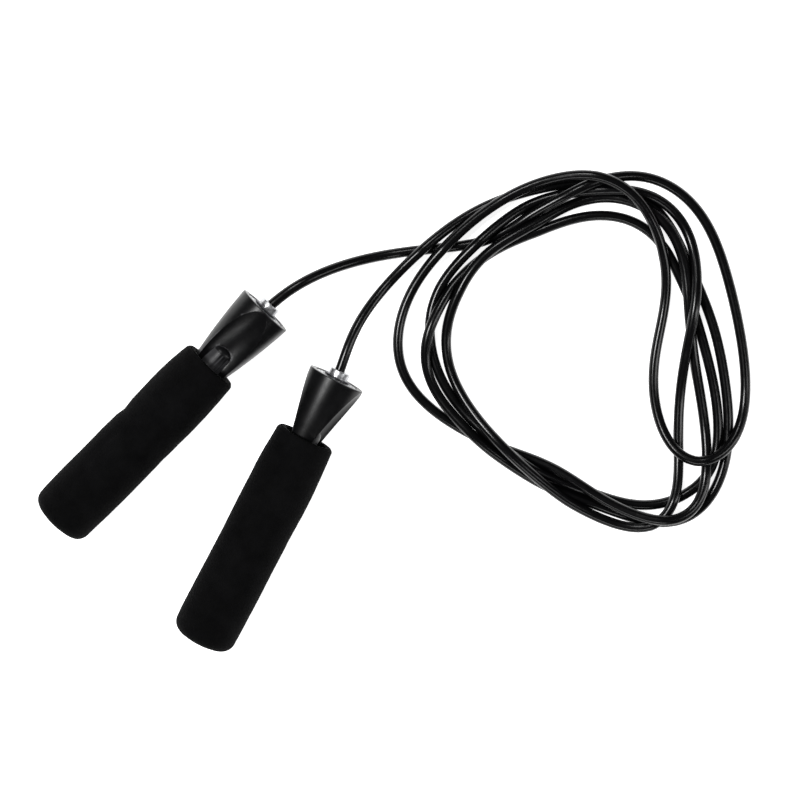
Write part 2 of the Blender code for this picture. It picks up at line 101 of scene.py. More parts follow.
# ---------------------------------------------------------------- rope: its way over the floor
# Way of the rope over the floor: (x, y) points listed for each stretch, from the left mouth to the right one.
LEFT_LEAD = [(54, 102), (81.5, 113), (108.5, 118.5), (138.5, 122), (160.5, 125.5), (178, 136), (193, 145),
             (209, 153.5)]
TURNS = [
    # over the top, down the far right side, a tight turn back, and up the inside
    [(224, 159.5), (234.5, 161), (244.5, 159), (255.5, 155), (266.5, 146.5), (277.5, 131.5), (286, 109),
     (294.5, 76.5), (297.5, 54.5), (298, 43.5), (296.5, 27), (292, 17), (282.5, 7), (272, 1.5), (262, 6), (256, 16),
     (249.5, 32.5), (247.5, 49), (248.5, 65.5), (252, 82), (255, 98), (253.5, 109), (250, 125.5), (242, 142.5),
     (232.5, 152)],
    # the widest turn: over the top, round the far left, along the bottom and up the right
    [(217.5, 159), (201, 159.5), (184.5, 156.5), (168.5, 150), (150.5, 137.5), (134.5, 123.5), (122, 109),
     (112.5, 92.5), (108, 76.5), (108, 60), (112, 49), (120, 38), (132.5, 28), (148.5, 19), (169, 9), (191, -1.5),
     (210.5, -11.5), (230, -21), (249.5, -27.5), (263, -28), (272.5, -20), (277, -7), (277.5, 7.5), (276, 24),
     (273.5, 40.5), (270, 59), (267.5, 79), (266, 98), (263.5, 113.5), (258, 126.5), (250, 138.5), (238, 147)],
    # the innermost on the left, the lowest at the bottom
    [(224, 150), (209, 148.5), (193, 141.5), (179.5, 133), (161.5, 122), (145, 108.5), (138, 92.5), (133.5, 76.5),
     (134.5, 60), (140.5, 43.5), (152, 26.5), (169, 9), (187, -7), (203.5, -18.5), (220, -27), (236, -33),
     (246, -33), (253.5, -29), (258.5, -21.5), (261, -6.5), (261.5, 10.5), (261.5, 27), (262.5, 43.5), (264.5, 60),
     (266, 76.5), (268, 92.5), (269.5, 109), (267, 125), (259, 140), (249, 147), (238.5, 151)],
    # the highest along the bottom, then a wide sweep to the right and back under the top
    [(224, 152.5), (206.5, 153.5), (190, 149), (174, 141), (157.5, 129.5), (141.5, 114.5), (132.5, 101.5),
     (127.5, 87.5), (125, 73.5), (127, 59), (133.5, 46), (142.5, 33), (159.5, 15.5), (174.5, 5), (191, -4),
     (214.5, -13), (230, -19.5), (241, -21), (256.5, -18.5), (270, -11.5), (279.5, 2), (283, 18.5), (282, 38),
     (279, 54.5), (273.5, 70.5), (268.5, 84.5), (261.5, 102.5), (254.5, 117.5), (248, 127.5), (239.5, 134.5)],
    # the inside at the top, the outermost at the bottom right
    [(223, 138.5), (206.5, 138), (190.5, 134), (168.5, 125.5), (147.5, 110.5), (135, 95.5), (127.5, 85), (123, 73),
     (122, 60), (125.5, 47.5), (133.5, 35), (144.5, 23.5), (158.5, 11.5), (178.5, -2.5), (202.5, -14.5),
     (227, -23.5), (244, -29), (257.5, -31), (269.5, -27), (279, -17.5), (285.5, -3.5), (289, 12), (289, 28),
     (287.5, 43.5), (284.5, 60), (279.5, 82), (272.5, 97.5), (263.5, 116.5), (256.5, 131.5), (244.5, 145)],
]
RIGHT_LEAD = [(231, 151.5), (212, 154), (195.5, 154), (176.5, 151), (157.5, 145), (141.5, 136), (125, 124),
              (108.5, 108.5), (94.5, 92.5), (83.5, 76.5), (78, 65.5)]
ROUTE = [tuple(axis_point("left", SLEEVE_END))[:2]] + LEFT_LEAD + [p for turn in TURNS for p in turn] + RIGHT_LEAD + \
        [tuple(axis_point("right", SLEEVE_END))[:2]]
# Which strand lies on which: (place along ROUTE, layer). Where two strands cross, the higher layer is on top.
LAYERS = [(0, 0), (4.5, 0), (6, 2), (7, 4), (10.5, 4), (19, 5), (20.5, 6), (24.5, 6), (29, 6), (31, 7), (41, 7),
          (44, 3), (47, 1.5), (48, 1), (50.5, 3), (52.5, 5), (54.5, 5), (56, 5), (58, 3), (61, 2), (66, 2),
          (68.5, 3), (70, 5), (73, 5), (76, 5.5), (77.5, 5.5), (79.5, 3), (82.5, 3), (85.5, 4), (88.5, 5),
          (92.5, 5), (94.5, 3), (97.5, 2.5), (100.5, 2.5), (103, 2), (106, 2), (109.5, 3), (114, 2.2), (118, 1.5),
          (122, 1.5), (127, 1.5), (129.5, 2), (131, 2.5), (133, 3.4), (135.5, 3.2), (137.5, 2), (140.5, 0.6),
          (144.5, 1.6), (147.5, 1.5), (153.5, 0.5), (157, 0.8), (163.5, 1.2), (168, 1)]


def through(points, per=24):
    """Centripetal Catmull-Rom curve through points, with each sample's place along them."""
    pts = [np.array(p, float) for p in points]
    pts = [2 * pts[0] - pts[1]] + pts + [2 * pts[-1] - pts[-2]]
    out, place = [], []
    for k in range(1, len(pts) - 2):
        p0, p1, p2, p3 = pts[k - 1:k + 3]
        t0 = 0.0
        t1 = t0 + math.sqrt(np.linalg.norm(p1 - p0))
        t2 = t1 + math.sqrt(np.linalg.norm(p2 - p1))
        t3 = t2 + math.sqrt(np.linalg.norm(p3 - p2))
        for i in range(per):
            t = t1 + (t2 - t1) * i / per
            a1 = p0 * (t1 - t) / (t1 - t0) + p1 * (t - t0) / (t1 - t0)
            a2 = p1 * (t2 - t) / (t2 - t1) + p2 * (t - t1) / (t2 - t1)
            a3 = p2 * (t3 - t) / (t3 - t2) + p3 * (t - t2) / (t3 - t2)
            b1 = a1 * (t2 - t) / (t2 - t0) + a2 * (t - t0) / (t2 - t0)
            b2 = a2 * (t3 - t) / (t3 - t1) + a3 * (t - t1) / (t3 - t1)
            out.append(b1 * (t2 - t) / (t2 - t1) + b2 * (t - t1) / (t2 - t1))
            place.append(k - 1 + i / per)
    out.append(pts[-2])
    place.append(float(len(pts) - 3))
    return np.array(out), np.array(place)


def ease(t):
    t = np.clip(t, 0.0, 1.0)
    return t * t * (3 - 2 * t)


def ironed(flat, reach):
    """Each point becomes the mean of its neighbours within about `reach` mm along the rope: no kinks."""
    run = np.r_[0, np.cumsum(np.hypot(*np.diff(flat, axis=0).T))]
    out = flat.copy()
    for i in range(1, len(flat) - 1):
        lo, hi = np.searchsorted(run, (run[i] - 3 * reach, run[i] + 3 * reach))
        side = min(i - lo, hi - 1 - i)
        if side > 0:
            k = slice(i - side, i + side + 1)
            w = np.exp(-0.5 * ((run[k] - run[i]) / reach) ** 2) * np.gradient(run[k])
            out[i] = (flat[k] * w[:, None]).sum(axis=0) / w.sum()
    return out


def lay_rope(iterations=1500, step=2.5):
    """Drops the rope under its own weight on to the floor and on to itself, along ROUTE.

    The rope is a chain of points. Each round lowers it, irons out sharp bends as its stiffness does, draws it back
    towards its route, and pushes apart stretches that are less than a diameter from each other."""
    flat, place = through(ROUTE)
    z = ROPE_R + np.interp(place, [a for a, _ in LAYERS], [b for _, b in LAYERS]) * 6.2
    run = np.r_[0, np.cumsum(np.hypot(*np.diff(flat, axis=0).T))]
    w = np.maximum(1 - ease(run / 75.0), 1 - ease((run[-1] - run) / 75.0))
    z = z * (1 - w) + AXIS_Z * w
    first = np.array([axis_point("left", h) for h in np.arange(ROPE_END, SLEEVE_END - 0.5, 1.0)])
    last = np.array([axis_point("right", h) for h in np.arange(ROPE_END, SLEEVE_END - 0.5, 1.0)])[::-1]
    way = np.vstack([first, np.c_[flat, z], last])
    way[:, :2] = ironed(way[:, :2], 4.5)
    cum = np.r_[0, np.cumsum(np.linalg.norm(np.diff(way, axis=0), axis=1))]
    n = int(round(cum[-1] / step)) + 1
    u = np.linspace(0, cum[-1], n)
    p = np.stack([np.interp(u, cum, way[:, k]) for k in range(3)], axis=1)
    target = p[:, :2].copy()
    held = int((SLEEVE_END - ROPE_END) / step) + 1
    free = np.ones(n, bool)
    free[:held] = free[-held:] = False
    ii, jj = np.triu_indices(n, 8)
    near = np.hypot(target[ii, 0] - target[jj, 0], target[ii, 1] - target[jj, 1]) < ROPE_D + 3.2
    ii, jj = ii[near], jj[near]
    d2 = np.zeros((n - 2, n))
    k = np.arange(n - 2)
    d2[k, k], d2[k, k + 1], d2[k, k + 2] = 1, -2, 1
    bend = d2.T @ d2
    stiff, settle = np.linalg.inv(np.eye(n) + 40.0 * bend), np.linalg.inv(np.eye(n) + 6.0 * bend)

    def part(passes, sideways):
        """Pushes stretches that touch apart, and lifts what is below the floor."""
        for _ in range(passes):
            d = p[ii] - p[jj]
            r = np.linalg.norm(d, axis=1)
            on = r < ROPE_D
            a, b, dv, rr = ii[on], jj[on], d[on], r[on]
            push = dv / np.maximum(rr, 1e-6)[:, None] * ((ROPE_D - rr) * 0.5)[:, None]
            total, count = np.zeros_like(p), np.zeros(n)
            np.add.at(total, a, push)
            np.add.at(total, b, -push)
            np.add.at(count, a, 1)
            np.add.at(count, b, 1)
            move = total / np.maximum(count, 1)[:, None] * 1.4
            move[:, :2] *= sideways
            p[free] += move[free]
            off = p[:, :2] - target
            q = np.hypot(off[:, 0], off[:, 1])
            far = q > 2.5
            p[far, :2] = target[far] + off[far] * (2.5 / q[far])[:, None]
            p[:, 2] = np.maximum(p[:, 2], ROPE_R)

    for it in range(iterations):
        f = it / iterations
        p[free, 2] -= 0.10 * (1 - f) + 0.01
        p[free, 2] += (0.5 if f < 0.9 else 0.25) * (stiff @ p[:, 2] - p[:, 2])[free]
        p[:, :2] += 0.04 * (target - p[:, :2])
        part(3, 0.6)
        off = p[:, :2] - target
        off[1:-1] = 0.5 * off[1:-1] + 0.25 * (off[:-2] + off[2:])
        p[:, :2] = np.where(free[:, None], target + off, p[:, :2])
    for it in range(80):
        p[free] += 0.5 * (settle @ p - p)[free]
        p[free, 2] -= 0.01
        part(4, 1.0)
    # the stretch next to each collar is held level by it, and comes down to the rest in one gentle bend
    mouth = u - (SLEEVE_END - ROPE_END)
    e = np.minimum(ease(mouth / 75.0), ease((mouth[::-1]) / 75.0))
    p[:, 2] = AXIS_Z * (1 - e) + p[:, 2] * e
    return p


rope_path = lay_rope()
ROPE_LENGTH = float(np.linalg.norm(np.diff(rope_path, axis=0), axis=1).sum())


# ---------------------------------------------------------------- materials
def new_material(name):
    m = bpy.data.materials.new(name)
    m.use_nodes = True
    nt = m.node_tree
    return m, nt, nt.nodes["Principled BSDF"]


def tex_noise(nt, scale, detail=4.0, rough=0.55, vector=None, distortion=0.0):
    n = nt.nodes.new("ShaderNodeTexNoise")
    n.inputs["Scale"].default_value = scale
    n.inputs["Detail"].default_value = detail
    n.inputs["Roughness"].default_value = rough
    n.inputs["Distortion"].default_value = distortion
    if vector is not None:
        nt.links.new(vector, n.inputs["Vector"])
    return n


def ramp(nt, source, stops):
    r = nt.nodes.new("ShaderNodeValToRGB")
    el = r.color_ramp.elements
    while len(el) > 2:
        el.remove(el[-1])
    for k, (pos, col) in enumerate(stops):
        e = el[k] if k < 2 else el.new(pos)
        e.position = pos
        e.color = (*col, 1.0) if len(col) == 3 else col
    nt.links.new(source, r.inputs["Fac"])
    return r


def grey(v):
    return (v, v, v)


def bump(nt, height, strength, distance, normal=None):
    b = nt.nodes.new("ShaderNodeBump")
    b.inputs["Strength"].default_value = strength
    b.inputs["Distance"].default_value = distance
    nt.links.new(height, b.inputs["Height"])
    if normal is not None:
        nt.links.new(normal, b.inputs["Normal"])
    return b


def coords(nt):
    """Object coordinates: every piece's mesh is in metres."""
    return nt.nodes.new("ShaderNodeTexCoord").outputs["Object"]


def maths(nt, op, a, b):
    m = nt.nodes.new("ShaderNodeMath")
    m.operation = op
    for s, v in zip(m.inputs, (a, b)):
        if isinstance(v, (int, float)):
            s.default_value = v
        else:
            nt.links.new(v, s)
    return m.outputs[0]


def edge_wear_and_highlight(nt, low=0.52, high=0.62):
    """0 on flats, 1 on convex edges."""
    g = nt.nodes.new("ShaderNodeNewGeometry")
    return ramp(nt, g.outputs["Pointiness"], [(low, grey(0.0)), (high, grey(1.0))]).outputs["Color"]


def mix_colour(nt, fac, a, b):
    m = nt.nodes.new("ShaderNodeMix")
    m.data_type = "RGBA"
    if isinstance(fac, (int, float)):
        m.inputs[0].default_value = fac
    else:
        nt.links.new(fac, m.inputs[0])
    for s, v in ((m.inputs[6], a), (m.inputs[7], b)):
        if isinstance(v, tuple):
            s.default_value = (*v, 1.0)
        else:
            nt.links.new(v, s)
    return m.outputs[2]


def pvc_material():
    m, nt, p = new_material("pvc_rope")
    at = coords(nt)
    cloud = tex_noise(nt, 55.0, 3.0, 0.5, at)
    col = ramp(nt, cloud.outputs["Fac"], [(0.3, (0.0010, 0.0010, 0.0012)), (0.75, (0.0022, 0.0022, 0.0025))])
    dust = tex_noise(nt, 900.0, 6.0, 0.65, at)
    specks = ramp(nt, dust.outputs["Fac"], [(0.66, grey(0.0)), (0.78, grey(1.0))])
    nt.links.new(mix_colour(nt, maths(nt, "MULTIPLY", specks.outputs["Color"], 0.30), col.outputs["Color"],
                            (0.02, 0.02, 0.021)), p.inputs["Base Color"])
    ro = ramp(nt, tex_noise(nt, 240.0, 5.0, 0.6, at).outputs["Fac"], [(0.3, grey(0.19)), (0.75, grey(0.26))])
    nt.links.new(ro.outputs["Color"], p.inputs["Roughness"])
    p.inputs["IOR"].default_value = 1.45
    p.inputs["Specular IOR Level"].default_value = 0.30
    b1 = bump(nt, tex_noise(nt, 60.0, 1.0, 0.4, at).outputs["Fac"], 0.10, 0.0004)
    b2 = bump(nt, tex_noise(nt, 700.0, 3.0, 0.5, at).outputs["Fac"], 0.05, 0.00003, b1.outputs["Normal"])
    nt.links.new(b2.outputs["Normal"], p.inputs["Normal"])
    return m


def foam_material():
    m, nt, p = new_material("foam")
    at = coords(nt)
    cells = nt.nodes.new("ShaderNodeTexVoronoi")
    cells.inputs["Scale"].default_value = 1500.0
    cells.inputs["Randomness"].default_value = 1.0
    nt.links.new(at, cells.inputs["Vector"])
    fine = tex_noise(nt, 2600.0, 5.0, 0.7, at)
    cloud = tex_noise(nt, 90.0, 5.0, 0.6, at)
    base = ramp(nt, cloud.outputs["Fac"], [(0.3, (0.0012, 0.0012, 0.0013)), (0.72, (0.0031, 0.0031, 0.0033))])
    # painted shade: the dips of the pore cells, where the bump sinks, are painted darker towards near-black as the
    # shade in them
    painted_pore_shade = ramp(nt, cells.outputs["Distance"], [(0.05, grey(1.0)), (0.42, grey(0.0))])
    dark = mix_colour(nt, maths(nt, "MULTIPLY", painted_pore_shade.outputs["Color"], 0.55), base.outputs["Color"],
                      (0.0010, 0.0010, 0.0011))
    lint = ramp(nt, tex_noise(nt, 700.0, 8.0, 0.75, at).outputs["Fac"], [(0.64, grey(0.0)), (0.76, grey(1.0))])
    col = mix_colour(nt, maths(nt, "MULTIPLY", lint.outputs["Color"], 0.50), dark, (0.016, 0.016, 0.0165))
    worn = mix_colour(nt, maths(nt, "MULTIPLY", edge_wear_and_highlight(nt, 0.515, 0.60), 0.35), col, (0.010, 0.010, 0.0105))
    nt.links.new(worn, p.inputs["Base Color"])
    ro = ramp(nt, fine.outputs["Fac"], [(0.25, grey(0.80)), (0.8, grey(0.97))])
    nt.links.new(ro.outputs["Color"], p.inputs["Roughness"])
    p.inputs["Specular IOR Level"].default_value = 0.035
    p.inputs["Sheen Weight"].default_value = 0.006
    p.inputs["Sheen Roughness"].default_value = 0.5
    b1 = bump(nt, cells.outputs["Distance"], 0.55, 0.00025)
    b2 = bump(nt, fine.outputs["Fac"], 0.45, 0.00015, b1.outputs["Normal"])
    b3 = bump(nt, tex_noise(nt, 160.0, 4.0, 0.6, at).outputs["Fac"], 0.30, 0.0006, b2.outputs["Normal"])
    nt.links.new(b3.outputs["Normal"], p.inputs["Normal"])
    return m


def abs_material():
    m, nt, p = new_material("abs_plastic")
    at = coords(nt)
    cloud = tex_noise(nt, 70.0, 4.0, 0.55, at)
    col = ramp(nt, cloud.outputs["Fac"], [(0.3, (0.0012, 0.0012, 0.0014)), (0.75, (0.0026, 0.0026, 0.0030))])
    scuff = nt.nodes.new("ShaderNodeMapping")
    scuff.inputs["Scale"].default_value = (60.0, 900.0, 900.0)
    nt.links.new(at, scuff.inputs["Vector"])
    hair = tex_noise(nt, 1.0, 6.0, 0.7, scuff.outputs["Vector"])
    lines = ramp(nt, hair.outputs["Fac"], [(0.62, grey(0.0)), (0.75, grey(1.0))])
    c1 = mix_colour(nt, maths(nt, "MULTIPLY", lines.outputs["Color"], 0.20), col.outputs["Color"],
                    (0.018, 0.018, 0.019))
    # painted highlight: the convex edges, the scoops' creases among them, are painted a much lighter grey (0.050) to
    # stand in for the light they catch
    colour_with_painted_edge_highlight = mix_colour(nt, maths(nt, "MULTIPLY", edge_wear_and_highlight(nt, 0.51, 0.57), 0.60), c1, (0.050, 0.050, 0.053))
    nt.links.new(colour_with_painted_edge_highlight, p.inputs["Base Color"])
    grain = tex_noise(nt, 2200.0, 4.0, 0.6, at)
    ro = ramp(nt, tex_noise(nt, 190.0, 6.0, 0.65, at).outputs["Fac"], [(0.3, grey(0.27)), (0.78, grey(0.38))])
    nt.links.new(ro.outputs["Color"], p.inputs["Roughness"])
    p.inputs["IOR"].default_value = 1.50
    p.inputs["Specular IOR Level"].default_value = 0.20
    b1 = bump(nt, grain.outputs["Fac"], 0.24, 0.00012)
    b2 = bump(nt, tex_noise(nt, 120.0, 2.0, 0.5, at).outputs["Fac"], 0.10, 0.0005, b1.outputs["Normal"])
    nt.links.new(b2.outputs["Normal"], p.inputs["Normal"])
    return m


def metal_material(name, colour, rough, turned=0.35, wear=0.25):
    """Turned or plated metal: fine rings round the handle's axis, smudges and brighter edges.
    The pieces that use it are modelled along their own X axis."""
    m, nt, p = new_material(name)
    at = coords(nt)
    rings = nt.nodes.new("ShaderNodeMapping")
    rings.inputs["Scale"].default_value = (9000.0, 60.0, 60.0)
    nt.links.new(at, rings.inputs["Vector"])
    lathe = tex_noise(nt, 1.0, 3.0, 0.6, rings.outputs["Vector"])
    smudge = tex_noise(nt, 320.0, 5.0, 0.6, at)
    dull = tuple(c * 0.72 for c in colour)
    col = ramp(nt, smudge.outputs["Fac"], [(0.3, dull), (0.7, colour)])
    bright = tuple(min(1.0, c * 1.15) for c in colour)
    nt.links.new(mix_colour(nt, maths(nt, "MULTIPLY", edge_wear_and_highlight(nt), wear), col.outputs["Color"], bright),
                 p.inputs["Base Color"])
    p.inputs["Metallic"].default_value = 1.0
    ro = ramp(nt, smudge.outputs["Fac"], [(0.3, grey(rough * 0.8)), (0.75, grey(rough * 1.5))])
    nt.links.new(ro.outputs["Color"], p.inputs["Roughness"])
    b1 = bump(nt, lathe.outputs["Fac"], turned, 0.000006)
    b2 = bump(nt, smudge.outputs["Fac"], 0.04, 0.00002, b1.outputs["Normal"])
    nt.links.new(b2.outputs["Normal"], p.inputs["Normal"])
    return m


def plain_material(name, low, high, rough, grain=0.15):
    """Moulded plastic with a soft cloud in its colour and a fine grain."""
    m, nt, p = new_material(name)
    at = coords(nt)
    cloud = tex_noise(nt, 160.0, 5.0, 0.6, at)
    col = ramp(nt, cloud.outputs["Fac"], [(0.3, low), (0.72, high)])
    light = tuple(min(1.0, c * 2.2 + 0.01) for c in high)
    nt.links.new(mix_colour(nt, maths(nt, "MULTIPLY", edge_wear_and_highlight(nt), 0.3), col.outputs["Color"], light),
                 p.inputs["Base Color"])
    fine = tex_noise(nt, 1800.0, 5.0, 0.65, at)
    ro = ramp(nt, fine.outputs["Fac"], [(0.3, grey(rough - 0.06)), (0.75, grey(rough + 0.08))])
    nt.links.new(ro.outputs["Color"], p.inputs["Roughness"])
    b1 = bump(nt, fine.outputs["Fac"], grain, 0.00015)
    nt.links.new(b1.outputs["Normal"], p.inputs["Normal"])
    return m


MAT = {
    "pvc_rope": pvc_material(),
    "foam": foam_material(),
    "abs_plastic": abs_material(),
    "bearing_steel": metal_material("bearing_steel", (0.30, 0.305, 0.315), 0.26, 0.12),
    "chrome": metal_material("chrome", (0.58, 0.585, 0.60), 0.30, 0.08),
    "dark_steel": metal_material("dark_steel", (0.10, 0.10, 0.11), 0.42, 0.15),
    "ferrule_brass": metal_material("ferrule_brass", (0.60, 0.42, 0.19), 0.28, 0.3),
    "cap_plastic": plain_material("cap_plastic", (0.008, 0.008, 0.009), (0.014, 0.014, 0.015), 0.45),
    "cage_nylon": plain_material("cage_nylon", (0.42, 0.38, 0.29), (0.56, 0.51, 0.41), 0.45),
}


# ---------------------------------------------------------------- the rope as one piece
def rope_piece():
    cu = bpy.data.curves.new("rope", "CURVE")
    cu.dimensions = "3D"
    cu.bevel_depth = ROPE_R * MM
    cu.bevel_resolution = 6
    cu.use_fill_caps = True
    cu.twist_mode = "MINIMUM"
    sp = cu.splines.new("POLY")
    sp.points.add(len(rope_path) - 1)
    for q, v in zip(sp.points, rope_path):
        q.co = (v[0] * MM, v[1] * MM, v[2] * MM, 1.0)
    sp.use_smooth = True
    cu.materials.append(MAT["pvc_rope"])
    ob = bpy.data.objects.new("rope", cu)
    bpy.context.scene.collection.objects.link(ob)
    return ob


rope = rope_piece()
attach(rope, "rope")
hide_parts("rope_coil", "rope_lead_left", "rope_lead_right")


# ---------------------------------------------------------------- mesh helpers
def piece(name, me, material, side, roll=None):
    ob = bpy.data.objects.new(name, me)
    bpy.context.scene.collection.objects.link(ob)
    ob.matrix_world = handle_matrix(side, roll)
    me.materials.append(MAT[material])
    return ob


def turned(name, profile, steps=96, sharp=32.0):
    """Closed outline of (h, r) turned about X."""
    bm = bmesh.new()
    vs = [bm.verts.new((h * MM, 0.0, r * MM)) for h, r in profile]
    n = len(vs)
    es = [bm.edges.new((vs[i], vs[(i + 1) % n])) for i in range(n)
          if not (profile[i][1] == 0.0 and profile[(i + 1) % n][1] == 0.0)]
    bmesh.ops.spin(bm, geom=vs + es, cent=(0, 0, 0), axis=(1, 0, 0), angle=2 * math.pi, steps=steps, use_merge=True)
    bmesh.ops.remove_doubles(bm, verts=bm.verts, dist=1e-7)
    bmesh.ops.recalc_face_normals(bm, faces=bm.faces)
    me = bpy.data.meshes.new(name)
    bm.to_mesh(me)
    bm.free()
    me.shade_smooth()
    me.set_sharp_from_angle(angle=math.radians(sharp))
    return me


def arc(ch, cr, radius, a0, a1, n):
    return [(ch + radius * math.cos(math.radians(a0 + (a1 - a0) * i / n)),
             cr + radius * math.sin(math.radians(a0 + (a1 - a0) * i / n))) for i in range(n + 1)]


# ---------------------------------------------------------------- foam grips
HEAD_START, HEAD_END = 121.0, 162.5
NECK_R, MOUTH_R, HEAD_BULGE = 10.6, 15.85, 0.5


def head_radius(h):
    """The head's flare: a cone with a parabolic bulge on it."""
    u = max(0.0, min(1.0, (h - HEAD_START) / (HEAD_END - HEAD_START)))
    return NECK_R + (MOUTH_R - NECK_R) * (u + HEAD_BULGE * u * (1.0 - u))


FOAM_SHAPE = {
    # (h, radius, how far the foam stands off the axis to the left of the way the handle points)
    "left": [(0.6, 17.5, 0.0), (12, 17.7, 0.15), (30, 18.0, 0.05), (42, 18.0, -0.05), (55, 17.95, 0.0),
             (66, 17.75, 0.05), (71, 17.45, -0.55), (78, 17.8, -0.1), (86, 17.95, 0.0), (98, 17.95, 0.1),
             (108, 17.5, 0.15), (116, 16.8, 0.1), (121, 16.3, 0.0)],
    "right": [(0.6, 17.4, 0.1), (14, 17.8, 0.1), (28, 17.95, 0.0), (48, 17.85, -0.05), (62, 17.7, -0.05),
              (74, 17.8, 0.05), (88, 18.0, 0.0), (102, 17.95, 0.1), (112, 17.6, 0.15), (120, 17.0, 0.2),
              (127, 16.5, 0.3)],
}


def foam_piece(side):
    """Foam sleeve with a domed butt, soft edges, a hand-squeezed surface and faint creases."""
    top = FOAM_TOP[side]
    shape = FOAM_SHAPE[side]
    hs, rs, offs = zip(*shape)
    h0, eb, et = 0.6, 6.5, 2.1
    # run of the outline: bore, butt face, dome, barrel, top edge, top face, bore again
    line = [(h0 + 2.0, 10.85, 0), (h0 + 0.5, 10.85, 0), (h0, 11.2, 0)]
    n_edge = 14
    for i in range(n_edge + 1):
        a = math.radians(180 - 90 * i / n_edge)
        line.append((h0 + eb + eb * math.cos(a), 11.5 + (18.0 - 11.5) * math.sin(a), 1))
    n_bar = 150
    for i in range(1, n_bar):
        line.append((h0 + eb + (top - et - h0 - eb) * i / n_bar, 18.0, 1))
    for i in range(0, 9):
        a = math.radians(90 - 90 * i / 8)
        line.append((top - et + et * math.cos(a), 18.0 - et + et * math.sin(a), 2))
    line += [(top, 15.2, 3), (top, 14.0, 3), (top - 0.2, head_radius(top) + 0.65, 3),
             (top - 0.7, head_radius(top) + 0.42, 3), (top - 1.6, head_radius(top - 1.6) + 0.42, 3)]
    steps = 144
    bm = bmesh.new()
    rings = []
    for h, r, kind in line:
        ring = []
        for k in range(steps):
            t = 2 * math.pi * k / steps
            y, z = math.cos(t), math.sin(t)
            if kind == 0:
                rr, dy = r, 0.0
            else:
                want = float(np.interp(h, hs, rs))
                rr = r * want / 18.0 if kind in (1, 2) else min(r, want - 1.2)
                dy = float(np.interp(h, hs, offs))
                if kind in (1, 2):
                    # hand-squeezed softness, then the fine unevenness of moulded foam
                    q = Vector((h * 0.035, y * 0.8, z * 0.8)) + Vector((11.0 if side == "left" else 47.0, 0, 0))
                    soft = noise.noise(q * 1.6) * 0.22 + noise.noise(q * 5.0) * 0.07
                    pits = noise.noise(Vector((h * 0.5, y * 9.0, z * 9.0))) * 0.05
                    rr += min(0.0, soft - 0.10) + pits
                    rr -= crease(side, h, t)
            ring.append(bm.verts.new((h * MM, (y * rr + dy) * MM, z * rr * MM)))
        rings.append(ring)
    for a, b in zip(rings, rings[1:] + rings[:1]):
        for k in range(steps):
            j = (k + 1) % steps
            bm.faces.new((a[k], a[j], b[j], b[k]))
    # nothing below the floor
    low = -AXIS_Z * MM
    for v in bm.verts:
        if v.co.z < low:
            v.co.z = low
    bmesh.ops.recalc_face_normals(bm, faces=bm.faces)
    me = bpy.data.meshes.new(side + "_foam")
    bm.to_mesh(me)
    bm.free()
    me.shade_smooth()
    ob = piece(side + "_foam", me, "foam", side, roll=0.0)
    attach(ob, side + "_handle")
    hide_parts(side + "_foam_grip")
    return ob


CREASES = {
    # each: start (h, angle), end (h, angle), depth, width in mm; the angle is from the left side over the top
    "left": [((16, 66), (62, 50), 0.34, 2.4), ((20, 88), (44, 80), 0.16, 2.0), ((30, 118), (52, 108), 0.14, 2.2),
             ((8, 100), (20, 60), 0.12, 2.5), ((60, 140), (74, 128), 0.16, 3.0), ((84, 70), (100, 62), 0.10, 3.0)],
    "right": [((10, 120), (22, 70), 0.14, 2.5), ((40, 74), (70, 66), 0.12, 2.6), ((86, 60), (112, 68), 0.12, 3.0),
              ((96, 120), (110, 96), 0.10, 3.0)],
}


def crease(side, h, t):
    total = 0.0
    deg = math.degrees(t) % 360
    for (h0, a0), (h1, a1), depth, width in CREASES[side]:
        u = (h - h0) / (h1 - h0)
        if -0.2 < u < 1.2:
            c = max(0.0, min(1.0, u))
            a = a0 + (a1 - a0) * c + 3.0 * math.sin(c * 7.0)
            gap = math.radians(deg - a) * 18.0
            end = max(0.0, abs(u - 0.5) - 0.35) / 0.35
            total += depth * math.exp(-(gap / width) ** 2) * math.exp(-(end * 1.6) ** 2)
    return total




foams = {side: foam_piece(side) for side in SIDES}


# ---------------------------------------------------------------- moulded bodies
SCOOP_R, SCOOP_LOW, SCOOP_DEPTH, SCOOP_BEND_R = 16.0, 116.0, 2.4, 86.0
TUBE_R, TUBE_END = 10.5, 118.0
CORE_R, CORE_END, CORE_EDGE = 7.2, 134.0, 4.6


def bent_trough(steps=120, sides=120):
    """A round bar bent on an arc; its outermost line makes the floor of a scoop."""
    span = math.radians(52.0)
    bm = bmesh.new()
    rings = []
    for i in range(steps + 1):
        a = span * (2 * i / steps - 1)
        ring = []
        for k in range(sides):
            t = 2 * math.pi * k / sides
            r = SCOOP_BEND_R - SCOOP_R + SCOOP_R * math.cos(t)
            ring.append(bm.verts.new((r * math.sin(a) * MM, SCOOP_R * math.sin(t) * MM, -r * math.cos(a) * MM)))
        rings.append(ring)
    for la, lb in zip(rings, rings[1:]):
        for k in range(sides):
            j = (k + 1) % sides
            bm.faces.new((la[k], la[j], lb[j], lb[k]))
    bm.faces.new(rings[0])
    bm.faces.new(list(reversed(rings[-1])))
    bmesh.ops.recalc_face_normals(bm, faces=bm.faces)
    me = bpy.data.meshes.new("trough")
    bm.to_mesh(me)
    bm.free()
    return me


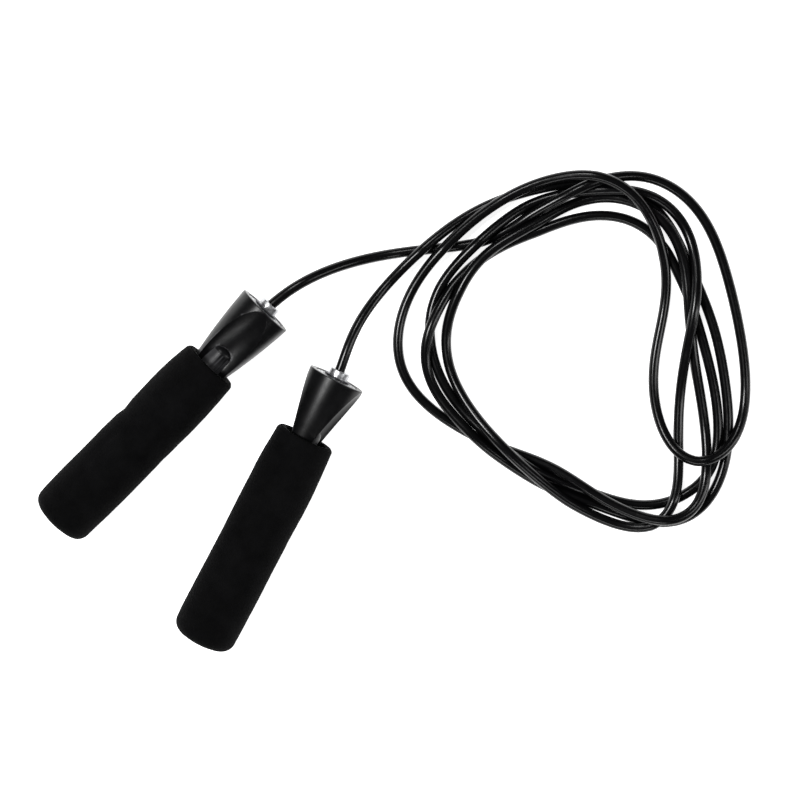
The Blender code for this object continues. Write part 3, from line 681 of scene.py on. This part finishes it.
def body_piece(side):
    """The same moulding as the CAD body, with rounder turns, softened scoop edges and a lip round the mouth."""
    name = side + "_body"
    outer = [(TUBE_END - 2.0, 0.0), (TUBE_END - 2.0, TUBE_R - 0.6), (TUBE_END + 1.0, TUBE_R)]
    outer += [(HEAD_START + (HEAD_END - 0.05 - HEAD_START) * i / 60, head_radius(HEAD_START + (HEAD_END - 0.05 - HEAD_START) * i / 60))
              for i in range(61)]
    outer += arc(162.45, 15.3, 0.55, 80, 0, 6) + [(163.0, 14.6), (163.0, 0.0)]
    me = turned(name, outer, 144)
    ob = piece(name, me, "abs_plastic", side)

    helpers = []

    def helper(suffix, mesh, matrix):
        h = bpy.data.objects.new(name + suffix, mesh)
        bpy.context.scene.collection.objects.link(h)
        h.matrix_world = matrix
        helpers.append(h)
        return h

    def cut(cutter, op):
        m = ob.modifiers.new(op, "BOOLEAN")
        m.object, m.operation, m.solver = cutter, op, "EXACT"

    base = handle_matrix(side)
    for k, s in enumerate((1, -1)):
        local = Matrix.Translation(Vector((SCOOP_LOW, 0.0, s * (SCOOP_DEPTH + SCOOP_BEND_R))) * MM)
        if s < 0:
            local = local @ Matrix.Rotation(math.pi, 4, "X")
        cut(helper(f"_scoop{k}", bent_trough(), base @ local), "DIFFERENCE")
    core = [(113.0, 0.0), (113.0, CORE_R)] + \
        arc(CORE_END - CORE_EDGE, CORE_R - CORE_EDGE, CORE_EDGE, 90, 8, 12) + [(CORE_END, 0.0)]
    cut(helper("_core", turned("core", core, 96), base), "UNION")
    tube = [(1.9, 0.0), (1.9, 10.2), (2.2, TUBE_R), (60.0, TUBE_R), (TUBE_END - 0.3, TUBE_R), (TUBE_END, TUBE_R - 0.3),
            (TUBE_END, 0.0)]
    cut(helper("_tube", turned("tube", tube, 144), base), "UNION")
    bore = [(-5.0, 0.0), (-5.0, 8.0), (111.0, 8.0), (112.5, 4.6), (127.0, 4.6), (128.0, 3.6), (128.0, 0.0)]
    pocket = [(142.0, 0.0), (142.0, 4.8), (149.6, 4.8), (150.1, 7.3), (156.3, 7.3), (156.3, 11.5), (157.1, 12.3), (162.6, 12.3),
              (163.1, 12.8), (170.0, 12.8), (170.0, 0.0)]
    cut(helper("_pocket", turned("pocket", pocket, 120), base), "DIFFERENCE")
    cut(helper("_bore", turned("bore", bore, 120), base), "DIFFERENCE")
    dg = bpy.context.evaluated_depsgraph_get()
    final = bpy.data.meshes.new_from_object(ob.evaluated_get(dg))
    ob.modifiers.clear()
    ob.data = final
    for h in helpers:
        bpy.data.objects.remove(h, do_unlink=True)
    # soften the scoops' edges
    final.shade_smooth()
    final.set_sharp_from_angle(angle=math.radians(30))
    bv = ob.modifiers.new("edges", "BEVEL")
    bv.width = 0.6 * MM
    bv.segments = 3
    bv.limit_method = "ANGLE"
    bv.angle_limit = math.radians(18)
    bv.use_clamp_overlap = True
    bv.miter_outer = "MITER_ARC"
    bv.harden_normals = False
    dg = bpy.context.evaluated_depsgraph_get()
    final = bpy.data.meshes.new_from_object(ob.evaluated_get(dg))
    ob.modifiers.clear()
    ob.data = final
    final.transform(Matrix.Rotation(math.radians(ROLL[side]), 4, "X"))
    ob.matrix_world = handle_matrix(side, 0.0)
    final.shade_smooth()
    final.set_sharp_from_angle(angle=math.radians(38))
    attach(ob, side + "_handle")
    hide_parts(side + "_handle_body")
    return ob


bodies = {side: body_piece(side) for side in SIDES}


# ---------------------------------------------------------------- bearings and end fittings, turned finely
def chamfered(h0, h1, r0, r1, c=0.25):
    """Ring from r0 to r1 with small chamfers at its four corners."""
    return [(h0 + c, r0), (h0, r0 + c), (h0, r1 - c), (h0 + c, r1), (h1 - c, r1), (h1, r1 - c), (h1, r0 + c),
            (h1 - c, r0)]


def fine_parts(side):
    mid = 159.6
    half = math.degrees(math.acos((9.0 - 7.9) / 1.95))
    inner = [(156.6, 6.3), (156.9, 6.0), (162.3, 6.0), (162.6, 6.3), (162.6, 7.7), (162.4, 7.9)] + \
        arc(mid, 9.0, 1.95, 270 + half, 270 - half, 14) + [(156.8, 7.9), (156.6, 7.7)]
    outer = [(156.6, 11.4), (156.6, 10.3), (156.8, 10.1)] + arc(mid, 9.0, 1.95, 90 + half, 90 - half, 14) + \
        [(162.4, 10.1), (162.6, 10.3), (162.6, 11.6), (162.2, 12.0), (157.2, 12.0)]
    sleeve = [(150.5, 3.1), (150.5, 6.6), (150.8, 6.9), (152.1, 6.9), (152.4, 6.6), (152.4, 5.7), (164.6, 5.7),
              (164.75, 5.5), (164.9, 5.5), (165.05, 5.7)] + arc(167.6 - 0.6, 5.7 - 0.6, 0.6, 90, 0, 6) + \
        [(167.6, 3.7), (167.3, 3.3), (166.6, 3.1)]
    cap = [(0.0, 0.0), (0.0, 9.5)] + arc(0.55, 9.65, 0.55, 180, 90, 5) + [(1.6, 10.2), (1.6, 7.6), (11.0, 7.6),
                                                                         (12.0, 6.9), (12.0, 0.0)]
    ferrule = [(142.6, 3.1), (142.6, 4.0), (142.9, 4.3), (144.0, 4.3), (144.5, 4.05), (145.6, 4.05), (146.1, 4.3),
               (147.0, 4.3), (147.5, 4.05), (148.6, 4.05), (149.1, 4.3), (149.9, 4.3), (150.2, 4.0), (150.2, 3.1)]
    shield = lambda h, d: [(h, 8.3), (h, 9.8), (h + 0.35, 9.8), (h + 0.35, 9.5), (h + 0.35 + d, 9.3),
                           (h + 0.35 + d, 8.7), (h + 0.35, 8.5), (h + 0.35, 8.3)]
    rows = [
        ("bearing_inner_race", inner, "bearing_steel", "rope"),
        ("bearing_outer_race", outer, "bearing_steel", side + "_handle"),
        ("rope_sleeve", sleeve, "chrome", "rope"),
        ("end_cap", cap, "cap_plastic", side + "_handle"),
        ("rope_ferrule", ferrule, "ferrule_brass", "rope"),
        ("retaining_ring", chamfered(162.9, 163.8, 6.0, 7.4, 0.15), "dark_steel", "rope"),
        ("spacer", chamfered(152.7, 156.3, 6.0, 6.9, 0.2), "dark_steel", "rope"),
        ("front_shield", shield(162.2, 0.1), "bearing_steel", side + "_handle"),
        ("rear_shield", [(156.95 - (h - 156.6), r) for h, r in shield(156.6, 0.0)], "bearing_steel", side + "_handle"),
    ]
    made = {}
    for name, profile, mat, body in rows:
        ob = piece(f"{side}_{name}_fine", turned(f"{side}_{name}_fine", profile, 96), mat, side, roll=0.0)
        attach(ob, body)
        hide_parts(f"{side}_{name}")
        made[name] = ob
    return made


fine = {side: fine_parts(side) for side in SIDES}


# ---------------------------------------------------------------- CAD nodes that stay: the balls and the cages
for side in SIDES:
    for name, mat in [("bearing_cage", "cage_nylon")] + [(f"bearing_ball_{i}", "bearing_steel") for i in range(1, 9)]:
        node = frame["nodes"][f"{side}_{name}"]
        if not node.material_slots:
            node.data.materials.append(MAT[mat])
        for s in node.material_slots:
            s.material = MAT[mat]


# ---------------------------------------------------------------- floor, light
def floor_piece():
    bpy.ops.mesh.primitive_plane_add(size=6.0, location=(0.1, 0.04, -0.0002))
    ob = bpy.context.object
    ob.name = "floor"
    m, nt, p = new_material("floor")
    at = coords(nt)
    cloud = tex_noise(nt, 3.0, 3.0, 0.5, at)
    col = ramp(nt, cloud.outputs["Fac"], [(0.3, grey(0.86)), (0.7, grey(0.88))])
    nt.links.new(col.outputs["Color"], p.inputs["Base Color"])
    p.inputs["Roughness"].default_value = 0.9
    p.inputs["Specular IOR Level"].default_value = 0.1
    p.inputs["Emission Color"].default_value = (1.0, 1.0, 1.0, 1.0)
    p.inputs["Emission Strength"].default_value = 0.88
    ob.data.materials.append(m)
    return ob


floor_piece()

world = bpy.data.worlds.new("studio")
bpy.context.scene.world = world
world.use_nodes = True
bg = world.node_tree.nodes["Background"]
bg.inputs["Color"].default_value = (1.0, 1.0, 1.0, 1.0)
bg.inputs["Strength"].default_value = 0.06


def area(name, location, target, size, size_y, energy):
    d = bpy.data.lights.new(name, "AREA")
    d.shape = "RECTANGLE"
    d.size, d.size_y, d.energy = size, size_y, energy
    ob = bpy.data.objects.new(name, d)
    bpy.context.scene.collection.objects.link(ob)
    loc = Vector(location)
    ob.location = loc
    ob.rotation_euler = (Vector(target) - loc).to_track_quat("-Z", "Y").to_euler()
    return ob


area("key", (-0.70, 0.25, 1.45), (0.1, 0.04, 0.0), 0.40, 0.40, 26.0)
area("top", (-0.15, 0.95, 1.30), (0.1, 0.04, 0.0), 0.3, 0.3, 6.0)
area("strip_right", (1.15, -0.15, 0.75), (0.1, 0.04, 0.0), 0.2, 1.0, 5.0)
area("front", (0.0, -1.15, 0.9), (0.1, 0.04, 0.0), 1.0, 0.3, 6.0)

sc = bpy.context.scene
sc.view_settings.view_transform = "Standard"
sc.view_settings.look = "None"
sc.view_settings.exposure = 0.0
sc.view_settings.gamma = 1.0
